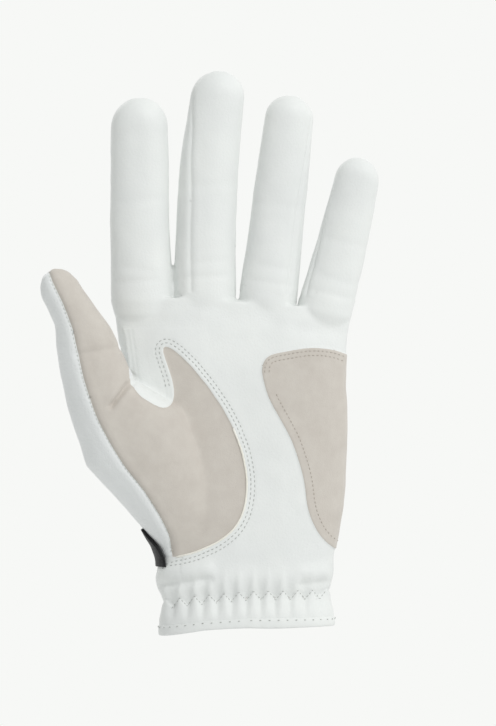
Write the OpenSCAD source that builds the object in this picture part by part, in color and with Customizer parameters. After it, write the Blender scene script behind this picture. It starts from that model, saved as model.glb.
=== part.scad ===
// Left-hand golf glove, filled out as if worn, fingers up.
// +Z runs from the cuff to the fingertips, the palm faces -Y and the thumb is on the -X side.
// The origin is the middle of the wrist opening, in the plane of the cuff edge. Millimetres.

/* [Palm] */
// Height from the cuff edge to the line where the fingers part
palm_length = 136; // [120:1:160]
// Distance through the glove, palm to back, at the knuckles
palm_depth = 27; // [22:0.5:34]
// Reach of the little-finger side of the palm from the centre
heel_reach = 40; // [34:0.5:46]
// Reach of the thumb side of the glove from the centre, at the web
thumb_reach = 75; // [68:0.5:82]
// Height of the web between thumb and palm
web_height = 98; // [88:1:106]
// How far the thumb side stands forward of the palm
thumb_forward = 17; // [10:0.5:22]
// Height of the soft mound below the thumb
mound_height = 5; // [0:0.5:9]

/* [Wrist] */
// Width of the cuff edge
cuff_width = 71; // [62:0.5:80]
// Distance through the cuff edge, palm to back
cuff_depth = 37; // [30:0.5:46]
// Width at the elastic
wrist_width = 67; // [58:0.5:74]
// Distance through the wrist at the elastic
wrist_depth = 33; // [28:0.5:42]
// Height of the middle of the elastic above the cuff edge
elastic_height = 15; // [12:0.5:18]
// Width of the elastic band
elastic_width = 9; // [6:0.5:12]
// Height of the rolled edge binding
binding_height = 4; // [2.5:0.25:6]

/* [Fingers] */
// Length of the index finger above its root
index_length = 79; // [64:0.5:96]
// Length of the middle finger above its root
middle_length = 89.5; // [72:0.5:108]
// Length of the ring finger above its root
ring_length = 79.5; // [64:0.5:96]
// Length of the little finger above its root
little_length = 58; // [47:0.5:70]
// Width of the index finger at its root
index_width = 26.5; // [22:0.5:32]
// Width of the middle finger at its root
middle_width = 24.5; // [21:0.5:30]
// Width of the ring finger at its root
ring_width = 23; // [20:0.5:28]
// Width of the little finger at its root
little_width = 22.5; // [19:0.5:27]
// Lean of the index finger, positive towards the little finger
index_lean = -1; // [-4:0.5:2]
// Lean of the middle finger
middle_lean = 3.5; // [2:0.5:5]
// Lean of the ring finger
ring_lean = 6.5; // [5:0.5:9]
// Lean of the little finger
little_lean = 12.5; // [10:0.5:18]
// Distance through a finger as a share of its width
finger_depth_share = 0.82; // [0.7:0.01:0.95]
// How far the fingertips curl forward
finger_curl = 7; // [0:0.5:14]

/* [Thumb] */
// Length of the thumb above the web
thumb_length = 51; // [43:0.5:62]
// Width of the thumb at the web
thumb_width = 24; // [20:0.5:27]
// Lean of the thumb away from the palm
thumb_lean = -20; // [-30:1:-12]
// How far the thumb tip stands forward of its root
thumb_rise = 11; // [4:0.5:18]

/* [Material] */
// Thickness of the palm and back leather
leather = 0.7; // [0.5:0.05:1.2]
// Gap between two panels at a seam
seam_gap = 0.3; // [0.2:0.05:0.6]
// Thickness of the wrist elastic
elastic_thickness = 0.9; // [0.5:0.1:1.5]

/* [Closure] */
// Height of the slit in the back
slit_height = 64; // [50:1:74]
// Width of the slit at the cuff
slit_width = 9; // [5:0.5:14]
// Distance of the slit from the centre, towards the thumb
slit_offset = 12; // [8:0.5:16]
// Height of the lower edge of the closure tab
tab_height = 24.5; // [22:0.5:28]
// Width of the closure tab
tab_width = 18; // [14:0.5:22]
// Thickness of the closure tab
tab_thickness = 1.3; // [0.9:0.1:2]
// Length of the closure tab beyond its fold, over the back
tab_length = 62; // [50:1:66]
// Thickness of the hook patch and of the loop patch
hook_thickness = 0.9; // [0.6:0.1:1.3]
// Length of the hook patch
hook_length = 22; // [14:1:28]

/* [Hidden] */

white = "whitesmoke";
suede = "#cfc8bf";
black = "#1c1c1e";
grey = "#9a9a98";

section_power = 2.5;    // 2 is an ellipse, more is squarer
finger_gap = 0.9;       // between two fingers at their roots
patch_gap = 0.4;        // between a flat-faced patch and the faces under it
elastic_gap = 0.5;      // between the elastic and the leather round it
flex_height = 11;       // height of a finger's flex line above its root
front_flex_gap = 8;     // the front leather stops this far below the flex line
back_flex_gap = 2.6;    // and the back leather this far
flex_start = 0.4;       // a finger's own panels start this far above its flex line
front_stub_angle = 55;  // the palm's stubs reach this far round each finger
palm_rows = 9;
palm_columns = 15;
finger_rows = 11;
dome_share = 0.6;       // share of a finger's rows below its domed end
tip_radius = 0.35;      // where the panels meet at a fingertip
ulnar_seam = 104;       // angle of the seam between palm and back, little-finger side
radial_seam = -106;     // and on the index-finger side
thumb_seam = -152;      // and behind the thumb

// ---- small helpers ----
function mix(a, b, t) = a + (b - a) * t;
function ease(t) = let (c = min(1, max(0, t))) c * c * (3 - 2 * c);
function signed_power(v, p) = sign(v) * pow(abs(v), p);
// A point of a rounded section, angle 0 at the palm side and 90 at the +X side
function section(half_width, half_depth, angle) = [
    half_width * signed_power(sin(angle), 2 / section_power),
    -half_depth * signed_power(cos(angle), 2 / section_power)
];
function angle_of(x, half_width) =
    sign(x) * asin(pow(min(1, abs(x) / half_width), section_power / 2));

// A closed sheet between two grids of points, the outer one and the inner one
module sheet(outer, inner) {
    rows = len(outer);
    columns = len(outer[0]);
    count = rows * columns;
    function quad(a, b, c, d) = [[a, b, c], [a, c, d]];
    top = (rows - 1) * columns;
    faces = concat(
        [for (i = [0:rows - 2], j = [0:columns - 2]) let (p = i * columns + j)
            each quad(p, p + columns, p + columns + 1, p + 1)],
        [for (i = [0:rows - 2], j = [0:columns - 2]) let (p = count + i * columns + j)
            each quad(p, p + 1, p + columns + 1, p + columns)],
        [for (j = [0:columns - 2]) each quad(j, j + 1, count + j + 1, count + j)],
        [for (j = [0:columns - 2]) let (p = top + j)
            each quad(p, count + p, count + p + 1, p + 1)],
        [for (i = [0:rows - 2]) let (p = i * columns)
            each quad(p, count + p, count + p + columns, p + columns)],
        [for (i = [0:rows - 2]) let (p = i * columns + columns - 1)
            each quad(p, p + columns, count + p + columns, count + p)]
    );
    polyhedron(points = concat([for (r = outer) each r], [for (r = inner) each r]), faces = faces);
}
// shape is a function (up, across, inset) of two shares from 0 to 1 and a depth below the outer face
module panel(shape, rows, columns, outer = 0, inner = leather) {
    grids = [for (inset = [outer, inner])
        [for (i = [0:rows]) [for (j = [0:columns]) shape(i / rows, j / columns, inset)]]];
    sheet(grids[0], grids[1]);
}

// ---- fingers ----
// Each finger is [root x, root z, lean, sideways bow, length, width at root, middle and tip]
middle_x = -16.5;
function beside(x, width_a, width_b) = x + (width_a + width_b) / 2 + finger_gap;
ring_x = beside(middle_x, middle_width, ring_width);
little_x = beside(ring_x, ring_width, little_width);
index_x = middle_x - (middle_width + index_width) / 2 - finger_gap;
index = [index_x, palm_length, index_lean, -0.5, index_length, index_width, 23.5, 21];
middle = [middle_x, palm_length + 0.5, middle_lean, -2.5, middle_length, middle_width, 24, 21];
ring = [ring_x, palm_length + 0.5, ring_lean, 0, ring_length, ring_width, 21.5, 18.5];
little = [little_x, palm_length - 2.5, little_lean, 0.8, little_length, little_width, 20.5, 17.5];
FINGERS = [index, middle, ring, little];

function finger_width(f, s) = lookup(s / f[4], [[0, f[5]], [0.5, f[6]], [1, f[7]]]);
// The end of a finger is a dome as long as half its tip width
function dome_start(f, inset) = f[4] - f[7] / 2 - 1.5;
// A point of a finger: angle round it, height s along it, shrink from 1 to 0 over the dome
function finger_point(f, angle, s, shrink, inset) =
    let (half = max(tip_radius, (finger_width(f, s) / 2 - inset) * shrink),
         deep = max(tip_radius, (finger_width(f, s) * finger_depth_share / 2 - inset) * shrink),
         p = section(half, deep, angle),
         share = s / f[4],
         side = p[0] + f[3] * 4 * share * (1 - share),
         up = s)
    [f[0] + side * cos(f[2]) + up * sin(f[2]),
     p[1] - finger_curl * share * share,
     f[1] - side * sin(f[2]) + up * cos(f[2])];
// q from 0 to 1 runs from height start over the straight part and then over the dome
function finger_station(f, q, start, inset) =
    let (s0 = dome_start(f, inset), s1 = f[4] - inset, turn = 90 * (q - dome_share) / (1 - dome_share))
    q < dome_share ? [mix(start, s0, q / dome_share), 1] : [s0 + (s1 - s0) * sin(turn), cos(turn)];
module finger_panel(f, from, to, columns) {
    panel(function (up, across, inset)
        let (st = finger_station(f, up, flex_height + flex_start, inset))
        finger_point(f, mix(from, to, across), st[0], st[1], inset),
        finger_rows, columns);
}
// A stub of a finger that belongs to the palm or to the back
module finger_stub(f, from, to, top) {
    panel(function (up, across, inset)
        finger_point(f, mix(from, to, across), mix(0.4, top, up), 1, inset), 1, 6);
}
function seam_turn(f) = seam_gap / f[5] * 114.6;   // degrees round a finger that make one seam gap

// ---- palm ----
index_edge = index_x - index_width / 2;
little_edge = little_x + little_width / 2;
function right_side(z) = lookup(z, [
    [0, cuff_width / 2], [elastic_height, wrist_width / 2 - 1], [elastic_height + 10, wrist_width / 2],
    [0.37 * palm_length, heel_reach - 1.2], [0.55 * palm_length, heel_reach],
    [0.86 * palm_length, heel_reach - 0.4], [palm_length, little_edge - 0.6]]);
// Below the web the thumb side belongs to the same section, above it the index finger bounds it
function thumb_side(z) = lookup(z, [
    [0, -cuff_width / 2 - 0.8], [elastic_height, -wrist_width / 2 - 2.5],
    [0.31 * web_height, -wrist_width / 2 - 5], [0.41 * web_height, -wrist_width / 2 - 8.5],
    [0.51 * web_height, -0.66 * thumb_reach], [0.61 * web_height, -0.79 * thumb_reach],
    [0.75 * web_height, -0.91 * thumb_reach], [web_height, -thumb_reach]]);
function index_side(z) = lookup(z, [
    [web_height, index_edge + 6], [mix(web_height, palm_length, 0.5), index_edge + 2.5],
    [palm_length, index_edge + 0.6]]);
function palm_half_depth(z) = lookup(z, [
    [0, cuff_depth / 2], [elastic_height, wrist_depth / 2], [0.35 * palm_length, wrist_depth / 2],
    [0.8 * palm_length, palm_depth / 2], [palm_length, palm_depth / 2 - 1.5]]);
// The thumb side leans forward of the palm, and the mound below the thumb swells
function forward(x, z) =
    thumb_forward * ease((-18 - x) / 46) * ease((z - 0.25 * web_height) / (0.5 * web_height));
function mound(x, z) = mound_height * exp(-pow((x + 28) / 20, 2) - pow((z - 62) / 26, 2));
// Where the fingers start, over the palm
function nearest_finger(x) =
    let (edges = [for (i = [0:2]) (FINGERS[i][0] + FINGERS[i + 1][0]) / 2])
    x < edges[0] ? index : x < edges[1] ? middle : x < edges[2] ? ring : little;
function palm_top(x) = let (f = nearest_finger(x)) f[1] - (x - f[0]) * tan(f[2]) - 0.3;

// Reach from the palm's middle line to one side, with the thumb or without it
palm_middle = -4;
function reach(z, to_right, with_thumb) =
    to_right ? right_side(z) - palm_middle
             : palm_middle - (with_thumb ? thumb_side(z) : index_side(z));
// How much of the thumb's forward lean is left above the web
function lean_left(z, with_thumb) =
    with_thumb ? 1 : mix(1, 0.3, ease((z - web_height) / (palm_length - web_height)));
// A point of the palm: angle round it and height z, with the thumb side or without it
function palm_point(angle, z, inset, with_thumb) =
    let (p = section(reach(z, sin(angle) >= 0, with_thumb) - inset, palm_half_depth(z) - inset, angle),
         x = p[0] + palm_middle,
         swell = cos(angle) > 0 ? mound(x, z) * cos(angle) : 0)
    [x, p[1] - forward(x, z) * lean_left(z, with_thumb) - swell, z];
function palm_angle(x, z, with_thumb) =
    angle_of(x - palm_middle, reach(z, x > palm_middle, with_thumb));
// A band of the palm between two heights, whose side edges are functions of the height
module palm_band(z0, z1, from, to, with_thumb, rows = palm_rows, columns = palm_columns,
                 outer = 0, inner = leather) {
    panel(function (up, across, inset)
        let (z = mix(z0, z1, up)) palm_point(mix(from(z), to(z), across), z, inset, with_thumb),
        rows, columns, outer, inner);
}
// The top band ends at the finger roots
module palm_top_band(z0, from, to, rows, columns, outer = 0, inner = leather) {
    panel(function (up, across, inset)
        let (p = palm_point(mix(from, to, across), mix(z0, palm_length, up), inset, false))
        [p[0], p[1], mix(z0, palm_top(p[0]), up)],
        rows, columns, outer, inner);
}
function at(value) = function (z) value;

// ---- outlines of the palm patches, as reach from the centre at each height ----
mound_bottom = 31;
peninsula_top = 114;
// Edge between the suede thumb piece and the white palm
function thumb_patch_right(z) = lookup(z, [
    [31, -28], [34.5, -17], [39, -9], [45.5, -3.2], [53.5, -0.8], [61.5, -0.4], [69.5, -1.6],
    [77.5, -4], [86.5, -8], [95, -13.2], [103, -19.2], [109.5, -25.2], [114, -30.4]]);
// Seam between the suede thumb piece and the white leather behind the thumb
function thumb_patch_left(z) = lookup(z, [
    [31, -31], [39.5, -31.6], [47.5, -35.2], [57.5, -41.2], [66.5, -48], [75.5, -53.2],
    [85.5, -57.2], [98, -61]]);
// Edge of the suede patch on the heel of the hand
function heel_patch_left(z) = lookup(z, [
    [38, 29.6], [43.5, 26], [51.5, 23.6], [61.5, 22], [71.5, 19.6], [81.5, 16], [89.5, 10.8],
    [98, 7.6], [105, 5.6], [109, 6.6], [112.5, 10]]);
heel_patch_bottom = 38;
heel_patch_top = 112.5;
peninsula_left = -34;

// ---- palm side ----
module palm_panel() color(white) {
    palm_band(binding_height + seam_gap, mound_bottom, at(thumb_seam + 40), at(ulnar_seam), true, 5);
    palm_band(mound_bottom, web_height,
        function (z) palm_angle(thumb_patch_right(z) + seam_gap, z, true), at(ulnar_seam), true);
    palm_band(web_height, peninsula_top,
        function (z) palm_angle(thumb_patch_right(z) + seam_gap, z, false), at(ulnar_seam), false, 3);
    palm_band(web_height, peninsula_top, at(radial_seam),
        function (z) palm_angle(peninsula_left - seam_gap, z, false), false, 3, 6);
    palm_top_band(peninsula_top, radial_seam, ulnar_seam, 4, 22);
    for (f = FINGERS) finger_stub(f, -front_stub_angle, front_stub_angle, flex_height - front_flex_gap);
}
module thenar_patch() color(suede) {
    palm_band(mound_bottom + seam_gap, web_height,
        function (z) palm_angle(thumb_patch_left(z) + seam_gap, z, true),
        function (z) palm_angle(thumb_patch_right(z) - seam_gap, z, true), true, 9, 12);
    palm_band(web_height, peninsula_top - seam_gap,
        function (z) palm_angle(peninsula_left, z, false),
        function (z) palm_angle(thumb_patch_right(z) - seam_gap, z, false), false, 3, 4);
    thumb_stub(2, 60);
}
module heel_patch() color(suede)
    palm_band(heel_patch_bottom, heel_patch_top,
        function (z) palm_angle(heel_patch_left(z), z, true), at(ulnar_seam - 6), true, 12, 10,
        -leather - patch_gap, -patch_gap);

// ---- back ----
slit_top = slit_height;
function slit_half(z) = slit_width / 2 * (1 - 0.75 * z / slit_height);
// Angle of a place on the back, a distance from the centre line
function back_angle(x, z) = 180 - palm_angle(x, z, true);
function slit_edge(z, side) = back_angle(-slit_offset + side * slit_half(z), z);
module thumb_side_panel() color(white) {
    palm_band(mound_bottom + seam_gap, web_height, at(thumb_seam),
        function (z) palm_angle(thumb_patch_left(z) - seam_gap, z, true), true, 9, 10);
    thumb_stub(240, 350);
}
module back_panel() color(white) {
    palm_band(binding_height + seam_gap, slit_top, at(ulnar_seam + 1),
        function (z) slit_edge(z, 1), true, 7, 9);
    palm_band(mound_bottom + seam_gap, slit_top, function (z) slit_edge(z, -1),
        at(360 + thumb_seam - 1), true, 4, 6);
    palm_band(binding_height + seam_gap, mound_bottom, function (z) slit_edge(z, -1),
        at(360 + thumb_seam + 39), true, 4, 8);
    palm_band(slit_top, web_height, at(ulnar_seam + 1), at(360 + thumb_seam - 1), true, 4, 14);
    palm_top_band(web_height, ulnar_seam + 1, 360 + radial_seam - 1, 5, 22);
    for (f = FINGERS)
        finger_stub(f, 180 - front_stub_angle, 180 + front_stub_angle, flex_height - back_flex_gap);
}
// Stretch mesh over the knuckles, laid on the back leather
module knuckle_mesh() color(black)
    panel(function (up, across, inset)
        let (p = palm_point(mix(ulnar_seam + 32, 360 + radial_seam - 32, across),
                mix(palm_length - 24, palm_length - 10, up), inset, false)) p,
        3, 16, -0.6, -0.05);
// Small saddle of leather in the crotch between two fingers
module web(a, b) color(white) {
    x = (a[0] + a[5] / 2 + b[0] - b[5] / 2) / 2;
    z = min(a[1] - (x - a[0]) * tan(a[2]), b[1] - (x - b[0]) * tan(b[2]));
    half = palm_depth / 2 - 5;
    saddle = function (up, across, inset)
        let (y = mix(-half, half, across))
        [x + mix(-1.8, 1.8, up), y, z + 0.8 - inset + 1.2 * pow(y / half, 2)];
    panel(saddle, 1, 8);
}
module index_middle_web() web(index, middle);
module middle_ring_web() web(middle, ring);
module ring_little_web() web(ring, little);

// ---- wrist ----
module elastic_band() color(grey)
    palm_band(elastic_height - elastic_width / 2, elastic_height + elastic_width / 2,
        at(-78), at(82), true, 6, 20, leather + elastic_gap, leather + elastic_gap + elastic_thickness);
module cuff_binding() color(white)
    palm_band(0, binding_height, function (z) slit_edge(z, -1) - 360, function (z) slit_edge(z, 1),
        true, 1, 34, -0.6, leather + 0.6);
// Bound edges of the slit, with a bridge across its top
module slit_binding() color(black) {
    for (edge = [[2.4, 0.05], [-0.05, -2.4]])
        palm_band(binding_height + seam_gap, slit_top,
            function (z) back_angle(-slit_offset + edge[0] + sign(edge[0]) * slit_half(z), z),
            function (z) back_angle(-slit_offset + edge[1] + sign(edge[0]) * slit_half(z), z),
            true, 7, 1, -0.6, -0.05);
    palm_band(slit_top, slit_top + 2.4,
        function (z) back_angle(-slit_offset + slit_half(slit_top) + 2.4, z),
        function (z) back_angle(-slit_offset - slit_half(slit_top) - 2.4, z),
        true, 1, 4, -0.6, -0.05);
}

// ---- closure: a strap sewn at the thumb side, folded back over the slit ----
loop_outer = hook_thickness + 0.65;
hook_inner = loop_outer + 0.35;
tab_inner = hook_inner + hook_thickness + 0.05;
tab_middle = tab_height + tab_width / 2;
fold_x = -31;
fold_gap = 1.6;
// Angle round the back, a distance from the fold towards the little-finger side
function arc_angle(distance, z) = back_angle(fold_x + distance, z);
function tab_end(z) = let (t = (z - tab_middle) / (tab_width / 2)) tab_length - 7 * t * t;
module tab_sheet(z0, z1, from, to, columns, outer, inner)
    palm_band(z0, z1, from, to, true, 5, columns, outer, inner);
module tab_anchor() color(black)
    palm_band(tab_height + 1, tab_height + tab_width - 1, at(-84),
        function (z) arc_angle(-fold_gap, z) - 360, true, 3, 8,
        -tab_inner - tab_thickness, -tab_inner);
module closure_tab() color(black)
    tab_sheet(tab_height, tab_height + tab_width, function (z) arc_angle(tab_end(z), z),
        function (z) arc_angle(fold_gap, z), 14, -tab_inner - tab_thickness, -tab_inner);
module hook_patch() color(grey)
    tab_sheet(tab_height + 2, tab_height + tab_width - 2,
        function (z) arc_angle(tab_length - 9, z),
        function (z) arc_angle(tab_length - 9 - hook_length, z), 6,
        -tab_inner + 0.15, -hook_inner);
module loop_patch() color(grey)
    palm_band(tab_height - 2, tab_height + tab_width + 2,
        function (z) arc_angle(tab_length + 1, z),
        function (z) arc_angle(tab_length - 13 - hook_length, z), true, 2, 8,
        -loop_outer, -0.65);

// ---- finger panels: angles of the seams round each finger ----
module index_front() color(white) finger_panel(index, -100, 78, 10);
module index_fourchette() color(white)
    finger_panel(index, 78 + seam_turn(index), 128, 4);
module index_back() color(white)
    finger_panel(index, 128 + seam_turn(index), 260 - seam_turn(index), 9);

module middle_front() color(white) finger_panel(middle, -32, 80, 8);
module middle_fourchette_thumb_side() color(white)
    finger_panel(middle, -98, -32 - seam_turn(middle), 5);
module middle_fourchette_little_side() color(white)
    finger_panel(middle, 80 + seam_turn(middle), 130, 4);
module middle_back() color(white)
    finger_panel(middle, 130 + seam_turn(middle), 262 - seam_turn(middle), 9);

module ring_front() color(white) finger_panel(ring, -80, 46, 8);
module ring_fourchette_thumb_side() color(white)
    finger_panel(ring, -128, -80 - seam_turn(ring), 4);
module ring_fourchette_little_side() color(white)
    finger_panel(ring, 46 + seam_turn(ring), 100, 5);
module ring_back() color(white)
    finger_panel(ring, 100 + seam_turn(ring), 232 - seam_turn(ring), 9);

module little_front() color(white) finger_panel(little, -66, 100, 9);
module little_fourchette() color(white)
    finger_panel(little, -120, -66 - seam_turn(little), 4);
module little_back() color(white)
    finger_panel(little, 100 + seam_turn(little), 240 - seam_turn(little), 9);

// ---- thumb: its pad faces the palm, its seam faces forward ----
thumb_root = [-thumb_reach + thumb_width / 2 + 3.5, -thumb_forward - 1, web_height + 1];
thumb = [0, 0, 0, 0, thumb_length, thumb_width, 22.5, 19];
thumb_flex_height = 10;
thumb_flex_gap = 7;
// A point of the thumb in its own upright frame, then leaned over and forward
function thumb_point(angle, s, shrink, inset) =
    let (half = max(tip_radius, (finger_width(thumb, s) / 2 - inset) * shrink),
         deep = max(tip_radius, (finger_width(thumb, s) * 0.86 / 2 - inset) * shrink),
         p = section(half, deep, angle), share = s / thumb_length)
    [thumb_root[0] + p[0] * cos(thumb_lean) + s * sin(thumb_lean),
     thumb_root[1] + p[1] - thumb_rise * share,
     thumb_root[2] - p[0] * sin(thumb_lean) + s * cos(thumb_lean)];
module thumb_panel(from, to, columns) {
    panel(function (up, across, inset)
        let (st = finger_station(thumb, up, thumb_flex_height + flex_start, inset))
        thumb_point(mix(from, to, across), st[0], st[1], inset),
        finger_rows, columns);
}
// The end of the thenar piece and of the thumb side, cut square to the thumb
module thumb_stub(from, to) {
    panel(function (up, across, inset)
        thumb_point(mix(from, to, across), mix(0.6, thumb_flex_height - thumb_flex_gap, up), 1, inset), 1, 8);
}
module thumb_front() color(suede) thumb_panel(-4, 172, 10);
module thumb_back() color(white)
    thumb_panel(172 + seam_turn(thumb), 356 - seam_turn(thumb), 10);

palm_panel();
thenar_patch();
heel_patch();
thumb_side_panel();
back_panel();
knuckle_mesh();
index_middle_web();
middle_ring_web();
ring_little_web();
elastic_band();
cuff_binding();
slit_binding();
loop_patch();
tab_anchor();
index_front();
index_back();
index_fourchette();
middle_front();
middle_back();
middle_fourchette_thumb_side();
middle_fourchette_little_side();
ring_front();
ring_back();
ring_fourchette_thumb_side();
ring_fourchette_little_side();
little_front();
little_back();
little_fourchette();
thumb_front();
thumb_back();
closure_tab();
hook_patch();
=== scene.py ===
import math
import bpy
import bmesh
import numpy as np
from mathutils import Matrix, Vector, noise
from mathutils.bvhtree import BVHTree


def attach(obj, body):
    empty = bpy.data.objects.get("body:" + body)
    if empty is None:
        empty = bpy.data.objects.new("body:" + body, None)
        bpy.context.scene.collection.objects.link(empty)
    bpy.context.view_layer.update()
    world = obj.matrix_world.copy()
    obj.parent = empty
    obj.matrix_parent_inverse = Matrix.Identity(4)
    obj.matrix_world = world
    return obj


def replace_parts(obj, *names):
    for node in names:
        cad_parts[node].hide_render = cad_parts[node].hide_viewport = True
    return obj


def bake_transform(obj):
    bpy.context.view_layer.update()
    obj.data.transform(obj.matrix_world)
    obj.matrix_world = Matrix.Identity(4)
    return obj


# Left-hand golf glove, filled out. All working sizes are millimetres; meshes become metres when they are finished.

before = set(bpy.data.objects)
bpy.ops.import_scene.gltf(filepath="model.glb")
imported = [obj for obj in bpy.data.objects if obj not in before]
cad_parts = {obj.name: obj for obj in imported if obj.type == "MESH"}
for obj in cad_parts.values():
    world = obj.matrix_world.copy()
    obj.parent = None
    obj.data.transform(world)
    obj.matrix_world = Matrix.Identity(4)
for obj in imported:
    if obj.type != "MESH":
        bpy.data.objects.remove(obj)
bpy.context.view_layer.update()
print("frame loaded")

mm = 0.001


def ease(t):
    t = np.clip(t, 0, 1)
    return t * t * (3 - 2 * t)


def table(pairs, t):
    return np.interp(t, [p[0] for p in pairs], [p[1] for p in pairs])


def linked(name, data):
    obj = bpy.data.objects.new(name, data)
    bpy.context.collection.objects.link(obj)
    return obj


def meshFrom(bm, name):
    mesh = bpy.data.meshes.new(name)
    bm.to_mesh(mesh)
    bm.free()
    return mesh


def evaluated(obj):
    graph = bpy.context.evaluated_depsgraph_get()
    mesh = bpy.data.meshes.new_from_object(obj.evaluated_get(graph))
    bpy.data.objects.remove(obj)
    return mesh


# the filled-out form: lofts for the palm, the thumb and four fingers

formSettings = {"voxel": 0.62, "smooth": 16, "palm ring": 64, "ring": 40, "palm power": 2.5, "power": 2.15}

# root x and z, lean in degrees, sideways bow, length, and width by share of the length
fingers = {
    "index": {"x": -42.6, "z": 136, "lean": -0.5, "bow": -0.7, "length": 78.6,
              "width": [(0, 24.9), (0.25, 24.0), (0.6, 23.2), (0.86, 22.6), (1, 21.5)]},
    "middle": {"x": -17.2, "z": 136.5, "lean": 4.0, "bow": -1.9, "length": 88.7,
               "width": [(0, 24.6), (0.3, 24.4), (0.6, 23.4), (0.9, 21.4), (1, 20.4)]},
    "ring": {"x": 8.3, "z": 136.5, "lean": 6.7, "bow": 0, "length": 79.5,
             "width": [(0, 22.8), (0.3, 21.8), (0.6, 20.9), (0.9, 19.2), (1, 18.5)]},
    "little": {"x": 32.0, "z": 133.5, "lean": 13.2, "bow": 0.6, "length": 58.5,
               "width": [(0, 21.7), (0.3, 20.6), (0.6, 19.0), (0.9, 17.2), (1, 16.2)]},
}
fingerNames = list(fingers)
fingerDepth = 0.82  # depth as a share of width
fingerCurl = 7  # how far a tip comes forward


def fingerAxes(f):
    a = math.radians(f["lean"])
    return math.sin(a), math.cos(a)


def fingerCentre(f, s):
    sin, cos = fingerAxes(f)
    share = np.clip(s / f["length"], 0, 1)
    side = f["bow"] * 4 * share * (1 - share)
    return f["x"] + side * cos + s * sin, -fingerCurl * share ** 2, f["z"] - side * sin + s * cos


def fingerCoords(f, p):
    # height along the finger, side offset, depth offset, angle round it (0 palm side, 90 to +X), half-width
    sin, cos = fingerAxes(f)
    dx, dz = p[:, 0] - f["x"], p[:, 2] - f["z"]
    s = dx * sin + dz * cos
    share = np.clip(s / f["length"], 0, 1)
    side = dx * cos - dz * sin - f["bow"] * 4 * share * (1 - share)
    depth = p[:, 1] + fingerCurl * share ** 2
    half = table(f["width"], share) / 2
    angle = np.degrees(np.arctan2(side / half, -depth / (half * fingerDepth)))
    return s, side, depth, angle, half


# thumb stations: x, y, z, half-width, half-depth, lean in degrees
thumbStations = [
    (-19, 0, 33, 13.5, 12, -26), (-22.5, -2, 42, 16, 13.6, -30), (-31.5, -5, 58, 19.2, 15, -31),
    (-45.2, -9.5, 78, 22.4, 15.3, -30), (-58.4, -14.2, 95, 14.6, 13.4, -25), (-62.3, -17.5, 107, 13.1, 12, -17),
    (-65.4, -20.5, 118, 11.6, 10.8, -17), (-68.6, -23, 126.4, 8.9, 9.4, -23), (-72.4, -25.5, 133.4, 8.1, 8.6, -27),
    (-74.6, -27.2, 137.2, 8.0, 7.9, -27), (-76.6, -28.4, 140.9, 6.6, 6.6, -27), (-77.7, -29, 143.3, 4.4, 4.4, -27),
    (-78.2, -29.3, 144.6, 1.6, 1.6, -27)]

# half-widths and half-depth of palm and wrist against height; depth at the finger roots and top edge against x
palmLevels = [-1, 3, 6, 9, 12, 15, 18, 22, 26, 30, 35, 42, 50, 60, 70, 80, 90, 98, 106, 114, 121, 127, 131, 134]
palmSide = {
    "right": [(-1, 35.3), (6, 34.4), (11, 33.4), (15, 32.9), (20, 33), (25, 34.2), (30, 34.3), (35, 35.2), (44, 37.3),
              (54, 39.2), (70, 39.6), (88, 40.4), (97, 39.6), (112, 39.4), (121, 39.9), (128, 40.7), (134, 41.4)],
    "left": [(-1, 35.6), (6, 35.3), (11, 35.0), (15, 35.4), (20, 37.4), (24, 36.6), (28, 35.2), (32, 36), (36, 37.4),
             (41, 39.8), (45, 40.6), (60, 44), (80, 47.5), (98, 50), (115, 52.0), (131, 53.8), (134, 54.4)],
    "depth": [(-1, 18), (6, 17.6), (15, 16.4), (22, 16.6), (47, 15.6), (98, 13.6), (122, 12.8), (134, 11.4)],
    "root depth": [(-44, 10.7), (-16, 10.4), (8, 9.7), (34, 9.2)],
    "top": [(-56, 134.2), (-27, 134.6), (-3, 132.8), (21.5, 131.4), (43, 127.5)],
}


def bridgeRings(bm, rings):
    for a, b in zip(rings, rings[1:]):
        edges = [e for r in (a, b)
                 for e in {e for v in r for e in v.link_edges if e.other_vert(v) in r and len(e.link_faces) < 2}]
        bmesh.ops.bridge_loops(bm, edges=list(set(edges)))


def closeEnds(bm):
    bmesh.ops.holes_fill(bm, edges=[e for e in bm.edges if len(e.link_faces) == 1], sides=0)


def loft(rings, count, power):
    # each ring is a function from an angle to a point
    bm = bmesh.new()
    made = []
    for ring in rings:
        verts = bmesh.ops.create_circle(bm, cap_ends=False, segments=count, radius=1)["verts"]
        for v in verts:
            a = math.atan2(v.co.x, -v.co.y)
            c, s = math.cos(a), math.sin(a)
            k = (abs(c) ** power + abs(s) ** power) ** (-1 / power)
            v.co = ring(s * k, -c * k)
        made.append(set(verts))
    bridgeRings(bm, made)
    closeEnds(bm)
    bmesh.ops.recalc_face_normals(bm, faces=bm.faces)
    return bm


def palmLoft():
    rings = []
    for z in palmLevels:
        right, left, deep = (table(palmSide[side], z) for side in ("right", "left", "depth"))

        def ring(a, b, z=z, right=right, left=left, deep=deep):
            x = -4 + a * (right + 4 if a > 0 else left - 4)
            top = table(palmSide["top"], x) - 134
            hollow = 1.3 * math.exp(-((x + 2) / 16) ** 2 - ((z - 72) / 32) ** 2) if b < 0 else 0
            root = deep + (table(palmSide["root depth"], x) - deep) * float(ease((z - 100) / 32))
            root -= 1.3 * float(ease((z - 124) / 10))
            return Vector((x, b * root + hollow, z + top * float(ease((z - 112) / 22))))
        rings.append(ring)
    return loft(rings, formSettings["palm ring"], formSettings["palm power"])


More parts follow.
